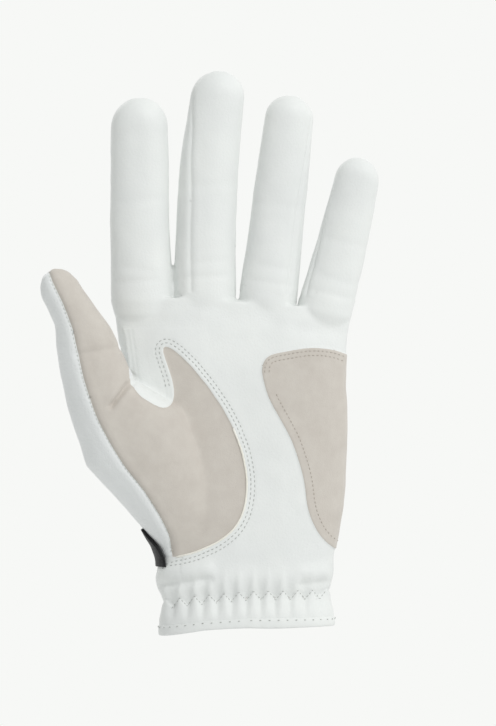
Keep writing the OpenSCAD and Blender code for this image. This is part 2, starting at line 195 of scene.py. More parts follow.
def fingerLoft(f):
    rings = []
    tip = table(f["width"], 1) / 2
    start = f["length"] - tip
    # the root narrows inside the palm, and the tip is round
    heights = [(s, 1 - 0.45 * float(ease(-(s + 6) / 8))) for s in np.linspace(-14, start, 16)]
    heights += [(start + tip * math.sin(t), math.cos(t)) for t in np.radians([15, 30, 45, 58, 70, 80, 87])]
    sin, cos = fingerAxes(f)
    for s, shrink in heights:
        x, y, z = fingerCentre(f, s)
        half = table(f["width"], s / f["length"]) / 2 * shrink

        def ring(a, b, x=x, y=y, z=z, half=half):
            return Vector((x + a * half * cos, y + b * half * fingerDepth, z - a * half * sin))
        rings.append(ring)
    return loft(rings, formSettings["ring"], formSettings["power"])


def thumbLoft():
    rings = []
    for x, y, z, half, deep, lean in thumbStations:
        turned = math.radians(lean)

        def ring(a, b, x=x, y=y, z=z, half=half, deep=deep, cos=math.cos(turned), sin=math.sin(turned)):
            return Vector((x + a * half * cos, y + b * deep, z - a * half * sin))
        rings.append(ring)
    return loft(rings, formSettings["ring"], formSettings["power"])


def gloveForm():
    # the separate lofts become one skin, then the joins between them are relaxed
    parts = bmesh.new()
    for bm in [palmLoft(), thumbLoft()] + [fingerLoft(f) for f in fingers.values()]:
        mesh = meshFrom(bm, "loft")
        parts.from_mesh(mesh)
        bpy.data.meshes.remove(mesh)
    obj = linked("form", meshFrom(parts, "form"))
    remesh = obj.modifiers.new("skin", "REMESH")
    remesh.mode, remesh.voxel_size, remesh.use_smooth_shade = "VOXEL", formSettings["voxel"], True
    relax = obj.modifiers.new("relax", "SMOOTH")
    relax.factor, relax.iterations = 0.5, formSettings["smooth"]
    return evaluated(obj)


skin = bmesh.new()
skin.from_mesh(gloveForm())
print("form", len(skin.verts))


# seams: level lines cut into the skin

def positions(bm):
    return np.array([v.co[:] for v in bm.verts])


def cutAlong(bm, values, snap=0.14):
    # each value gives a signed distance and a mask for every vertex; the skin is split along the zero lines
    bm.verts.index_update()
    p = positions(bm)
    v, group = np.full(len(p), 9.0), np.zeros(len(p), int)
    for i, value in enumerate(values):
        distance, inside = value(p)
        v[inside], group[inside] = distance[inside], i + 1
    ends = np.array([(e.verts[0].index, e.verts[1].index) for e in bm.edges])
    a, b = v[ends[:, 0]], v[ends[:, 1]]
    same = (group[ends[:, 0]] == group[ends[:, 1]]) & (group[ends[:, 0]] > 0)
    crossing = (a * b < 0) & same & (np.abs(a - b) < 6)
    bm.edges.ensure_lookup_table()
    picked = [(bm.edges[i], a[i], b[i]) for i in np.nonzero(crossing)[0]]
    onLine = set()
    for edge, va, vb in picked:
        t = va / (va - vb)
        if t < snap:
            onLine.add(edge.verts[0])
        elif t > 1 - snap:
            onLine.add(edge.verts[1])
        else:
            onLine.add(bmesh.utils.edge_split(edge, edge.verts[0], t)[1])
    bmesh.ops.connect_verts(bm, verts=list(onLine))
    return len(onLine)


def nearestFinger(p):
    # which finger a point belongs to, and its height along that finger
    rel, height = [], []
    for f in fingers.values():
        s, side, depth, angle, half = fingerCoords(f, p)
        rel.append(np.abs(side) / half)
        height.append(s)
    pick = np.argmin(np.array(rel), axis=0)
    return pick, np.array(height)[pick, np.arange(len(p))]


thumbAxis = {"root": np.array([-59.5, -18.0, 99.0]), "lean": math.radians(-20), "rise": 11 / 51, "bend": 20}
thumbWay = np.array([math.sin(thumbAxis["lean"]), -thumbAxis["rise"], math.cos(thumbAxis["lean"])])
thumbWay /= np.linalg.norm(thumbWay)


def thumbCoords(p):
    # height along the thumb, angle round it (0 to the front, 90 to the palm), share of its radius, and half-width
    s = (p - thumbAxis["root"]) @ thumbWay
    zs = [station[2] for station in thumbStations]
    cx, cy, half, deep, lean = (np.interp(p[:, 2], zs, [station[i] for station in thumbStations]) for i in (0, 1, 3, 4, 5))
    side = (p[:, 0] - cx) * np.cos(np.radians(lean)) / half
    depth = (p[:, 1] - cy) / deep
    return s, np.degrees(np.arctan2(side, -depth)), np.hypot(side, depth), half


def onThumb(p, least=-6):
    # true for points of the thumb that lie higher along it than least
    s, angle, radius, half = thumbCoords(p)
    return (s > -6) & (s > least) & (((radius < 1.32) & (p[:, 0] < -40)) | ((p[:, 2] > 128) & (p[:, 0] < -59)))


def turn(angle, seam):
    return (angle - seam + 180) % 360 - 180


# finger seams: angle round the finger against height
fingerSeams = {
    "index": [[(0, 82), (60, 84), (78, 90)], [(0, 128), (78, 120)], [(0, -104), (78, -104)]],
    "middle": [[(0, -27), (37, -31), (66, -48), (80, -66), (89, -80)], [(0, 82), (89, 86)],
               [(0, 130), (89, 120)], [(0, -110), (89, -110)]],
    "ring": [[(0, -80), (79, -86)], [(0, 40), (40, 46), (62, 58), (74, 74), (79, 84)],
             [(0, -128), (79, -120)], [(0, 106), (79, 106)]],
    "little": [[(0, -54), (20, -62), (45, -80), (58, -90)], [(0, -122), (58, -116)], [(0, 103), (58, 103)]],
}
fingerSplit = 1.5  # above this height over its root a finger is made of its own pieces
thumbSplit = -1.0


def seamDistance(name, seam):
    f = fingers[name]

    def value(p):
        pick, height = nearestFinger(p)
        s, side, depth, angle, half = fingerCoords(f, p)
        radius = np.hypot(side, depth)
        off = turn(angle, table(seam, s))
        near = (pick == fingerNames.index(name)) & (s > -0.5) & (np.abs(off) < 60) & (p[:, 2] > 128)
        return np.radians(off) * radius, near
    return value


def fingerBase(p):
    pick, height = nearestFinger(p)
    return height - fingerSplit, (p[:, 2] > 125) & ~onThumb(p)


def thumbBase(p):
    return thumbCoords(p)[0] - thumbSplit, onThumb(p)


# outlines of the two suede patches, x and z
thenarOutline = [
    (-80, 147), (-72, 151), (-60, 140), (-50, 124), (-48.2, 109.2), (-46.9, 100), (-43.2, 95), (-39.2, 92.4),
    (-35.6, 90.4), (-33, 89.9), (-30.9, 91), (-29.7, 93.5), (-29.5, 97), (-30.3, 101.5), (-31.8, 106), (-33.2, 110),
    (-34, 112.8), (-33.7, 114.2), (-32.6, 114.6), (-30.4, 113.6), (-27.6, 111.5), (-25.2, 109.2), (-22, 106),
    (-19.2, 102.4), (-16, 98.6), (-13.2, 94.4), (-10.4, 90.4), (-8, 86), (-5.8, 81.8), (-4, 77.2), (-2.5, 73.2),
    (-1.6, 69.2), (-0.8, 65.2), (-0.4, 61.2), (-0.4, 57.2), (-0.8, 53.2), (-1.6, 49.2), (-3.2, 45.2), (-5.8, 41.4),
    (-9.2, 38.4), (-13, 35.9), (-17.2, 34), (-21.2, 32.3), (-25.2, 31.2), (-28.8, 30.4), (-30.4, 30.4), (-30.8, 33.2),
    (-31.6, 39.2), (-35.4, 47.2), (-41.6, 57.2), (-48.8, 66), (-54.5, 75.2), (-59.8, 85.2), (-63.2, 95.2),
    (-66, 105.2), (-68, 115.2), (-70.2, 123.2), (-73.9, 133.2), (-77.6, 141.2)]
heelOutline = [
    (5.6, 106), (6.4, 108.8), (8.3, 110.8), (11.2, 111.8), (14.8, 112.4), (19.6, 113.3), (24.5, 114), (29.8, 113.9),
    (34.8, 113.2), (39.4, 111.5), (50, 108), (52, 93), (52, 53), (50, 35), (35.5, 33), (34.2, 33.8), (31.2, 36.2),
    (29.2, 38.4), (27.4, 41), (25.6, 44.6), (24.2, 48.6), (23.4, 52.4), (23, 56.3), (22.5, 60), (21.7, 64),
    (20.3, 69), (18.5, 74.2), (17.1, 77.8), (15.3, 81.2), (12.6, 86.2), (9.6, 91.4), (7.7, 95.6), (6.4, 100.3),
    (5.7, 103.4)]


def closedDistance(outline, x, z):
    # signed distance to a closed outline, positive inside
    pts = np.array(outline)
    best = np.full(len(x), 1e9)
    inside = np.zeros(len(x), bool)
    for (x0, z0), (x1, z1) in zip(pts, np.roll(pts, -1, axis=0)):
        ex, ez = x1 - x0, z1 - z0
        t = np.clip(((x - x0) * ex + (z - z0) * ez) / (ex * ex + ez * ez), 0, 1)
        best = np.minimum(best, np.hypot(x - x0 - t * ex, z - z0 - t * ez))
        if ez:
            inside ^= ((z0 > z) != (z1 > z)) & (x < x0 + (z - z0) * ex / ez)
    return np.where(inside, best, -best)


def rounded(outline, times=2):
    # corner cutting, so the outline reads as a drawn curve
    pts = np.array(outline, float)
    for _ in range(times):
        nxt = np.roll(pts, -1, axis=0)
        pts = np.stack([pts * 0.75 + nxt * 0.25, pts * 0.25 + nxt * 0.75], axis=1).reshape(-1, 2)
    return [tuple(p) for p in pts]


thenarLine, heelLine = rounded(thenarOutline), rounded(heelOutline)


sideDepth = [(-1, 4.5), (40, 4.5), (100, 3.5), (140, 2.6)]  # how far back the palm leather wraps, against height


def sideSeam(p):
    # between palm and back leather, on both sides of the hand
    return table(sideDepth, p[:, 2]) - p[:, 1]


def frontOfHand(p):
    # true on the palm side of the hand, thumb web included
    return sideSeam(p) > 0


def thenarCut(p):
    near = frontOfHand(p) & (p[:, 2] < 122) & ~(onThumb(p, thumbSplit - 0.5) & (p[:, 0] < -56))
    return closedDistance(thenarLine, p[:, 0], p[:, 2]), near


def heelCut(p):
    return closedDistance(heelLine, p[:, 0], p[:, 2]), frontOfHand(p) & (p[:, 0] > 0)


# behind the thumb: the seam from the web down to the wrist, as x against z
thumbBackSeam = [(-5, -33), (10, -34), (26, -34), (36, -33), (50, -36), (64, -42), (80, -47), (96, -51), (102, -54),
                 (110, -56)]


def thumbBackCut(p):
    x, y, z = p.T
    return table(thumbBackSeam, z) - x, (y > -6) & (z > 26) & (z < 104) & (x < -25)


def thumbFootCut(p):
    # the lower end of the thumb-side piece, just above the wrist
    x, y, z = p.T
    return z - 30.5 - 0.12 * (x + 31), (x < -24) & (z < 50)


# the seam that shows on the thumb, x against z; slant turns the sideways distance into the one across the seam
thumbSeamLine = [(84, -59.4), (94.4, -62.9), (101.5, -65.1), (109.9, -67), (120.9, -69.3), (131.4, -73.1),
                 (140.2, -77.3), (143.4, -78.6), (148, -80.8)]
slant = {"thumb": 0.95, "thenar": 0.85}


def thumbFrontSeam(p):
    s, angle, radius, half = thumbCoords(p)
    off = (p[:, 0] - table(thumbSeamLine, p[:, 2])) * slant["thumb"]
    return off, onThumb(p, thumbSplit - 0.5) & (np.abs(angle) < 100)


# the seam behind the thumb, as an angle round it against height
thumbRearLine = [(-2, 86), (6, 102), (14, 130), (24, 150), (40, 160)]


def thumbRearSeam(p):
    s, angle, radius, half = thumbCoords(p)
    off = turn(angle, table(thumbRearLine, s))
    return np.radians(off) * half, onThumb(p, -2) & (np.abs(off) < 60)


# where the patch stops on the far side of the thumb web, as depth against x
webBackLine = [(-62, -12.5), (-38, -3)]


def webBackCut(p):
    x, y, z = p.T
    return table(webBackLine, x) - y, (x < -38) & (y < 4) & (z > 60) & (z < 119) & ~onThumb(p, thumbSplit)


slit = {"x": -12, "top": 64, "half": 4.4, "taper": 0.75}


def slitHalf(z):
    return slit["half"] * (1 - slit["taper"] * np.clip(z, 0, slit["top"]) / slit["top"])


def slitCut(p):
    x, y, z = p.T
    return np.minimum(slitHalf(z) - np.abs(x - slit["x"]), slit["top"] - z), (y > 0) & (z < 75)


# the mesh window over the knuckles: a band with round corners and arched long sides
meshBand = {"x": -6, "z": 119.75, "half": (37, 7.75), "corner": 5, "arch": 3.0}


def bandMiddle(x):
    return meshBand["z"] + meshBand["arch"] * (1 - ((x - meshBand["x"]) / meshBand["half"][0]) ** 2)


def meshCut(p):
    x, y, z = p.T
    corner = meshBand["corner"]
    dx = np.abs(x - meshBand["x"]) - (meshBand["half"][0] - corner)
    dz = np.abs(z - bandMiddle(x)) - (meshBand["half"][1] - corner)
    past = np.hypot(np.maximum(dx, 0), np.maximum(dz, 0)) + np.minimum(np.maximum(dx, dz), 0)
    return corner - past, (y > 2) & (z > 100) & (z < 140)


# the wrist opening: height of the hem's stitches against x
cuffTop = [(-38, 3.5), (-34, 3.7), (-18, 5.9), (0, 7.1), (20, 7.2), (38, 7.0)]


def cuffCut(p):
    return p[:, 2] - table(cuffTop, p[:, 0]) + 1.4, p[:, 2] < 14


def sideCut(p):
    x, y, z = p.T
    return sideSeam(p), (z < 134) & ~onThumb(p, -3) & ((x > 0) | (z > 99) | (z < 30))


# crotch gussets, x and z of each, and their half-sizes across and through the glove
webs = {"index_middle_web": (-28.2, 134.6), "middle_ring_web": (-3.3, 133.2), "ring_little_web": (21.3, 131.6)}
webSize = {"half": 3.2, "reach": 8.6}


def webShare(x, y, middle):
    return np.hypot((x - middle) / webSize["half"], y / webSize["reach"])


def webCut(p):
    x, y, z = p.T
    best = np.max([(1 - webShare(x, y, wx)) * webSize["half"] for wx, wz in webs.values()], axis=0)
    return np.maximum(best, -9.0), (z > 127) & (z < 137) & (np.abs(y) < 11) & (x > -36) & (x < 30)


# cuts that don't meet are made in one pass
passes = [[cuffCut, fingerBase, thumbBase], [sideCut], [thenarCut, slitCut, meshCut], [heelCut, thumbBackCut],
          [thumbFootCut, webCut]]
seamPasses = [[seamDistance(name, seams[i]) for name, seams in fingerSeams.items() if i < len(seams)] for i in range(4)]
for cut in passes + seamPasses + [[thumbFrontSeam], [thumbRearSeam, webBackCut]]:
    print("cut", cutAlong(skin, cut))
print("seams cut", len(skin.verts))


# which panel each face belongs to

panelNames = ["palm_panel", "thenar_patch", "heel_patch", "thumb_side_panel", "back_panel", "knuckle_mesh",
              "thumb_front", "thumb_back", "index_front", "index_fourchette", "index_back",
              "middle_front", "middle_fourchette_thumb_side", "middle_back", "middle_fourchette_little_side",
              "ring_front", "ring_fourchette_thumb_side", "ring_back", "ring_fourchette_little_side",
              "little_front", "little_fourchette", "little_back",
              "index_middle_web", "middle_ring_web", "ring_little_web", "removed"]
number = {name: i for i, name in enumerate(panelNames)}
# panels met on the way round each finger, from its back over its thumb side to its back again
roundFinger = {
    "index": ["back", "front", "fourchette", "back"],
    "middle": ["back", "fourchette_thumb_side", "front", "fourchette_little_side", "back"],
    "ring": ["back", "fourchette_thumb_side", "front", "fourchette_little_side", "back"],
    "little": ["back", "fourchette", "front", "back"]}


def fingerPanel(name, angle, s):
    seams = sorted(fingerSeams[name], key=lambda seam: seam[0][1])
    passed = sum((angle > table(seam, s)).astype(int) for seam in seams)
    return np.array([number[name + "_" + part] for part in roundFinger[name]])[passed]


# the thenar patch's seam towards the thumb side, x against z
thenarLeft = [(30, -30), (39, -31.4), (47, -35.3), (57, -41.5), (66, -48.6), (75, -54.3), (85, -59.5), (95, -63),
              (105, -65.8)]


def thenarLeftSeam(p):
    x, y, z = p.T
    low = (z > 31) & (z < 104) & (y < 2) & (x < -24) & ~onThumb(p, thumbSplit)
    return (x - table(thenarLeft, z)) * slant["thenar"], low


tongueLine = [(95, -45), (100, -46.9), (109.2, -48.2), (124, -50)]  # the white leather beside the thumb web, x against z


def classify(p):
    kind = np.full(len(p), number["back_panel"])
    x, y, z = p.T
    front = frontOfHand(p)
    kind[front] = number["palm_panel"]
    window = (meshCut(p)[0] > 0) & (y > 2) & (z > 100)
    kind[window] = number["knuckle_mesh"]
    thumbSide = (table(thumbBackSeam, z) - x > 0) & (z < 104) & (thumbFootCut(p)[0] > 0) & (y > -6)
    inThenar = closedDistance(thenarLine, x, z) > 0
    leftOfSeam = ~inThenar & (x < table(thenarLeft, z) + 0.6) & (thumbFootCut(p)[0] > 0) & (z < 106)
    kind[thumbSide | (leftOfSeam & (y <= -6))] = number["thumb_side_panel"]
    s, angle, radius, half = thumbCoords(p)
    behindWeb = (x < -38) & (z > 60) & (y > table(webBackLine, x))
    offThumb = (x < -40) & (z > 100) & (radius > 1.3)
    kind[front & inThenar & (z < 118) & ~offThumb & ~behindWeb] = number["thenar_patch"]
    kind[front & (closedDistance(heelLine, x, z) > 0) & (x > 0)] = number["heel_patch"]
    kind[(slitCut(p)[0] > 0) & (y > 0)] = number["removed"]
    kind[cuffCut(p)[0] < 0] = number["removed"]
    for name, (wx, wz) in webs.items():
        kind[(webShare(x, y, wx) < 1) & (z > wz - 5) & (z < wz + 4) & ~window] = number[name]
    thumb = onThumb(p, thumbSplit)
    beforeRear = (angle > 0) & (turn(angle, table(thumbRearLine, s)) < 0)
    ahead = np.where(np.abs(angle) < 100, x > table(thumbSeamLine, z), beforeRear)
    ahead &= ~((x > table(tongueLine, z)) & (z < 113) & front)
    kind[thumb] = np.where(ahead[thumb], number["thumb_front"], number["thumb_back"])
    pick, height = nearestFinger(p)
    up = (height > fingerSplit) & (z > 125) & ~onThumb(p)
    for i, name in enumerate(fingerNames):
        m = up & (pick == i)
        s, side, depth, angle, half = fingerCoords(fingers[name], p[m])
        kind[m] = fingerPanel(name, angle, s)
    return kind


faceCentres = np.array([f.calc_center_median()[:] for f in skin.faces])
kinds = classify(faceCentres)
print("panels", {panelNames[k]: int(n) for k, n in zip(*np.unique(kinds, return_counts=True))})


# the leather: folds, creases, puckers and seam valleys

def waves(p, scale, seed):
    return np.array([noise.noise(Vector(q) / scale + Vector((seed, seed * 1.7, -seed))) for q in p])


def segmentDistance(p, a, b):
    # distance in the XZ plane from a line between two points, and the share along it
    (ax, az), ex, ez = a, b[0] - a[0], b[1] - a[1]
    t = ((p[:, 0] - ax) * ex + (p[:, 2] - az) * ez) / (ex * ex + ez * ez)
    c = np.clip(t, 0, 1)
    return np.hypot(p[:, 0] - ax - c * ex, p[:, 2] - az - c * ez), t


# soft creases on the palm side: start, end, depth, half-width; a negative depth is a roll
creases = [
    ((-47.2, 99.8), (-54.4, 90.5), 2.2, 1.1), ((-46, 93), (-52, 84), 0.5, 2.4), ((-51, 114), (-68, 111), 0.7, 1.6),
    ((-38, 88), (-48, 78), 0.35, 3), ((-53, 140), (-36, 141.5), 0.3, 1.6), ((-52, 147), (-38, 144.5), 0.2, 1.8),
    ((-27, 142), (-8, 143), 0.28, 1.6), ((-23, 148), (-8, 149.5), 0.2, 1.7), ((0, 141.5), (17, 139), 0.28, 1.6),
    ((4, 147.5), (18, 145), 0.18, 1.7), ((25, 137.5), (42, 133.5), 0.28, 1.6), ((28, 143.5), (43, 139.5), 0.18, 1.7),
    ((-54, 172), (-34, 174), 0.22, 2.2), ((-28, 178), (-7, 180), 0.22, 2.2), ((3, 172), (23, 170), 0.22, 2.2),
    ((30, 158), (49, 154), 0.22, 2), ((-34, 24.4), (-15, 26.2), -1.7, 3.0), ((-35, 18.8), (-15, 21.8), 1.7, 1.7),
    ((21, 24), (31, 24.6), -0.8, 2.6), ((20, 19.4), (32, 20.2), 0.7, 1.6), ((-44, 121), (-22, 127), 0.35, 3.2),
    ((-12, 127), (12, 126), 0.3, 3.4), ((18, 122), (38, 120), 0.3, 3.0)]


wrist = {"pitch": 5.9, "start": -33.2, "height": 3.4, "gather": 0.75, "middle": [(-34, 11.3), (-20, 13.2), (0, 15.0), (33, 15.4)]}


def zigzagMiddle(x):
    return table(wrist["middle"], x)


def zigzagHeight(x):
    # a triangle wave round the wrist
    share = np.abs(((x - wrist["start"]) / wrist["pitch"]) % 1 - 0.5) * 2
    return zigzagMiddle(x) + wrist["height"] * (share - 0.5)


def folds(p, front):
    x, y, z = p.T
    out = np.zeros(len(p))
    for a, b, depth, width in creases:
        d, t = segmentDistance(p, a, b)
        fade = ease(np.minimum(t + 0.25, 1.25 - t) / 0.4)
        out -= np.where(front, depth * np.exp(-(d / width) ** 2) * fade, 0)
    # the wrist: gathered leather either side of the zigzag that holds the elastic
    near = zigzagHeight(x)
    gather = wrist["gather"] * np.cos((x - wrist["start"]) * 2 * math.pi / wrist["pitch"] + 0.5 * np.sin(x / 9))
    gather = gather * ease((34 - z) / 14) * ease((z - 3) / 5)
    gather *= np.exp(-(np.maximum(z - near, 0) / 6.5) ** 2) * np.exp(-(np.maximum(near - z, 0) / 7) ** 2)
    out += gather * np.where(front, 1, 0.7)
    below = near - z
    out += np.where(front, 0.5 * ease((below + 0.5) / 1.0) * np.exp(-np.maximum(below, 0) / 4.5), 0)
    out -= np.where(front, 0.4 * np.exp(-((below + 0.5) / 0.9) ** 2), 0)
    line = zigzagMiddle(x)
    out -= 0.8 * np.exp(-((z - line) / 3.2) ** 2)
    out += 0.6 * np.exp(-((z - line - 7.5) / 3.6) ** 2) + 0.35 * np.exp(-((z - line + 7) / 2.4) ** 2)
    return out


rowOffsets = {"thenar": [1.6, 3.1], "heel": [1.1, 2.9], "heel side": [3.3]}  # stitch rows, measured from a patch's edge


def valley(p, value, depth=0.5, full=0.14, width=0.75):
    # a seam: a narrow valley with a little fullness on both sides
    d, inside = value(p)
    d = np.where(inside, np.abs(d), 9)
    return -depth * np.exp(-(d / width) ** 2) + full * np.exp(-((d - 2.4) / 1.3) ** 2)


def shapeLeather(bm):
    bm.normal_update()
    p = positions(bm)
    n = np.array([v.normal[:] for v in bm.verts])
    front = frontOfHand(p)
    move = folds(p, front)
    move += 0.42 * waves(p * np.array([1, 1, 0.6]), 15, 3) + 0.16 * waves(p, 6.5, 9)
    for name, seams in fingerSeams.items():
        for seam in seams:
            move += valley(p, seamDistance(name, seam), 0.42)
    move += valley(p, thumbFrontSeam, 0.65, 0.2, 0.6) + valley(p, thumbRearSeam, 0.4) + valley(p, thenarLeftSeam, 0.65, 0.2, 0.6)
    move += valley(p, sideCut, 0.35)
    # the palm leather lies on top of the thumb patch
    d, inside = thenarCut(p)
    onPatch = inside & ~onThumb(p, -4) & (p[:, 0] > table(thenarLeft, p[:, 2]) + 4)
    move += np.where(onPatch, ease((0.35 - d) / 0.7) * np.exp(-np.maximum(-d, 0) / 6.0) * 0.55, 0)
    # two rows of stitches pull the leather down beside the patch
    for row in rowOffsets["thenar"]:
        move -= np.where(onPatch & (p[:, 1] < 0), 0.16 * np.exp(-((d + row) / 0.5) ** 2), 0)
    # the heel patch lies on top of the palm leather, and the mesh window lies deeper
    d, inside = heelCut(p)
    move += np.where(inside, 0.55 * ease((d + 0.35) / 0.7) * np.exp(-np.maximum(d, 0) / 8), 0)
    d, inside = meshCut(p)
    move -= np.where(inside, 0.35 * ease((d + 0.3) / 0.6), 0)
    for i, v in enumerate(bm.verts):
        v.co = p[i] + n[i] * move[i]


shapeLeather(skin)
skin.normal_update()
print("leather shaped")

surface = BVHTree.FromBMesh(skin)

# materials

def linear(hexColour, alpha=1.0):
    c = [int(hexColour[i:i + 2], 16) / 255 for i in (1, 3, 5)]
    return [v / 12.92 if v <= 0.04045 else ((v + 0.055) / 1.055) ** 2.4 for v in c] + [alpha]


def addNode(tree, kind, settings=None, links=None):
    node = tree.nodes.new(kind)
    for key, value in (settings or {}).items():
        if isinstance(key, int) or key in node.inputs:
            node.inputs[key].default_value = value
        else:
            setattr(node, key, value)
    for socket, source in (links or {}).items():
        tree.links.new(source, node.inputs[socket])
    return node


def newMaterial(name):
    mat = bpy.data.materials.new(name)
    mat.use_nodes = True
    mat.node_tree.nodes.clear()
    shader = addNode(mat.node_tree, "ShaderNodeBsdfPrincipled")
    addNode(mat.node_tree, "ShaderNodeOutputMaterial", links={0: shader.outputs[0]})
    return mat, mat.node_tree, shader, addNode(mat.node_tree, "ShaderNodeTexCoord").outputs["Object"]


def finishSurface(tree, shader, tint, stops, colours, height, strength, depth, values):
    # two colours mixed by tint, relief from height (depth in millimetres), and the shader's own values
    ramp = addNode(tree, "ShaderNodeValToRGB", links={"Fac": tint})
    for stop, place, colour in zip(ramp.color_ramp.elements, stops, colours):
        stop.position, stop.color = place, linear(colour)
    relief = addNode(tree, "ShaderNodeBump", {"Strength": strength, "Distance": depth * mm}, {"Height": height})
    tree.links.new(ramp.outputs["Color"], shader.inputs["Base Color"])
    tree.links.new(relief.outputs[0], shader.inputs["Normal"])
    for socket, value in values.items():
        shader.inputs[socket].default_value = value


# sizes in millimetres of the patterns
leatherPattern = {"pores": 0.5, "soil": 24, "dots": 1.3}
suedePattern = {"nap": 7, "fibre": 0.55}
clothFuzz = 1.5


def gloveLeather(name, base, shade, grainSize, grainDepth, rough, dots=False):
    # tanned sheepskin: close pebble grain under a thin matt finish, so highlights are broad and soft
    mat, tree, shader, coords = newMaterial(name)
    grain = addNode(tree, "ShaderNodeTexVoronoi", {"Scale": 1000 / grainSize, "feature": "SMOOTH_F1", "Smoothness": 0.6},
                    {"Vector": coords})
    pores = addNode(tree, "ShaderNodeTexNoise", {"Scale": 1000 / leatherPattern["pores"], "Detail": 3.0, "Roughness": 0.6},
                    {"Vector": coords})
    soil = addNode(tree, "ShaderNodeTexNoise", {"Scale": 1000 / leatherPattern["soil"], "Detail": 4.0, "Roughness": 0.55},
                   {"Vector": coords}).outputs["Fac"]
    height = addNode(tree, "ShaderNodeMath", {"operation": "MULTIPLY_ADD", 1: -1.0},
                     {0: grain.outputs["Distance"], 2: pores.outputs["Fac"]}).outputs[0]
    if dots:
        spots = addNode(tree, "ShaderNodeTexVoronoi",
                        {"Scale": 1000 / leatherPattern["dots"], "feature": "F1", "Randomness": 0.15},
                        {"Vector": coords})
        pit = addNode(tree, "ShaderNodeMapRange", {"From Min": 0.18, "From Max": 0.34, "To Min": -1.2, "To Max": 0.0},
                      {"Value": spots.outputs["Distance"]})
        height = addNode(tree, "ShaderNodeMath", {"operation": "ADD"}, {0: height, 1: pit.outputs[0]}).outputs[0]
    gloss = addNode(tree, "ShaderNodeMapRange", {"To Min": rough - 0.06, "To Max": rough + 0.08}, {"Value": soil})
    tree.links.new(gloss.outputs[0], shader.inputs["Roughness"])
    finishSurface(tree, shader, soil, (0.32, 0.68), (shade, base), height, 0.5, grainDepth,
                  {"IOR": 1.45, "Specular IOR Level": 0.35, "Subsurface Weight": 0.0})
    return mat


def suedeCloth(name, base, shade):
    # microfibre suede: brushed nap in soft patches, no highlight, a faint light edge
    mat, tree, shader, coords = newMaterial(name)
    nap = addNode(tree, "ShaderNodeTexNoise", {"Scale": 1000 / suedePattern["nap"], "Detail": 5.0, "Roughness": 0.65},
                  {"Vector": coords})
    fibre = addNode(tree, "ShaderNodeTexNoise", {"Scale": 1000 / suedePattern["fibre"], "Detail": 4.0, "Roughness": 0.7},
                    {"Vector": coords}).outputs["Fac"]
    mix = addNode(tree, "ShaderNodeMath", {"operation": "MULTIPLY_ADD", "use_clamp": True, 1: 0.35},
                  {0: fibre, 2: nap.outputs["Fac"]})
    finishSurface(tree, shader, mix.outputs[0], (0.48, 0.9), (shade, base), fibre, 0.5, 0.22,
                  {"Roughness": 0.95, "Specular IOR Level": 0.15, "Sheen Weight": 0.25, "Sheen Roughness": 0.5})
    return mat


def wovenCloth(name, base, shade, pitch, depth, rough, sheen=0.0):
    # warp and weft as two crossed sets of bars, one every pitch millimetres
    mat, tree, shader, coords = newMaterial(name)
    warp, weft = [addNode(tree, "ShaderNodeTexWave", {"Scale": 1000 / pitch / 20 * math.pi, "wave_type": "BANDS",
                                                      "bands_direction": way, "wave_profile": "SIN"},
                          {"Vector": coords}).outputs["Fac"] for way in ("X", "Z")]
    cross = addNode(tree, "ShaderNodeMath", {"operation": "MULTIPLY"}, {0: warp, 1: weft})
    fuzz = addNode(tree, "ShaderNodeTexNoise", {"Scale": 1000 / clothFuzz, "Detail": 3.0}, {"Vector": coords})
    tint = addNode(tree, "ShaderNodeMath", {"operation": "MULTIPLY_ADD", "use_clamp": True, 1: 0.6},
                   {0: cross.outputs[0], 2: fuzz.outputs["Fac"]}).outputs[0]
    finishSurface(tree, shader, tint, (0.35, 1.0), (shade, base), tint, 0.7, depth,
                  {"Roughness": rough, "Specular IOR Level": 0.2, "Sheen Weight": sheen})
    return mat


materials = {
    "leather": gloveLeather("white cabretta leather", "#eceeec", "#e7e9e8", 0.9, 0.10, 0.52),
    "dotted": gloveLeather("white embossed leather", "#eaecec", "#e5e7e7", 0.9, 0.12, 0.5, dots=True),
    "suede": suedeCloth("taupe microfibre suede", "#d2ccc4", "#cac3bb"),
    "mesh": wovenCloth("black stretch mesh", "#34353a", "#0d0d0f", 1.1, 0.3, 0.75, 0.3),
    "tab": wovenCloth("black bonded cloth", "#1d1d1f", "#0b0b0c", 0.7, 0.12, 0.6, 0.15),
    "elastic": wovenCloth("white woven elastic", "#e3e3e0", "#c4c4c2", 0.9, 0.2, 0.85),
    "pile": wovenCloth("white loop pile", "#ededeb", "#d0d0ce", 0.8, 0.35, 0.95, 0.2),
    "hook": wovenCloth("black nylon hook tape", "#2d2d30", "#101012", 0.8, 0.3, 0.7),
    "trim": wovenCloth("black bias tape", "#2b2b2e", "#131315", 0.6, 0.12, 0.7, 0.1),
    "thread": wovenCloth("white polyester thread", "#e9ebe8", "#cfd3ce", 0.3, 0.05, 0.6),
    # the same white thread darkened: painted shade of stitch pits and needle holes, not a grey thread
    "shade thread": wovenCloth("white thread with painted shade", "#d0d2cf", "#b2b5b1", 0.3, 0.05, 0.6),
    "taupe thread": wovenCloth("taupe polyester thread", "#cbc5bd", "#aba398", 0.3, 0.05, 0.7),
    "black thread": wovenCloth("black polyester thread", "#3a3a3d", "#1a1a1c", 0.3, 0.05, 0.6),
    "edge": gloveLeather("cream cut leather edge", "#f7f5ee", "#efece1", 0.5, 0.04, 0.6),
}
print("materials")

# panels cut from the skin

leather = 0.7  # wall thickness
finish = {"thenar_patch": "suede", "heel_patch": "suede", "thumb_front": "suede", "thumb_side_panel": "dotted",
          "thumb_back": "dotted", "knuckle_mesh": "mesh"}
bodyOf = {"thumb_front": "thumb", "thumb_back": "thumb"}
for name in fingerNames:
    for other in panelNames:
        if other.startswith(name + "_"):
            bodyOf[other] = name + "_finger"


def addObject(name, mesh, material):
    mesh.materials.clear()
    mesh.materials.append(materials[material])
    return linked(name, mesh)


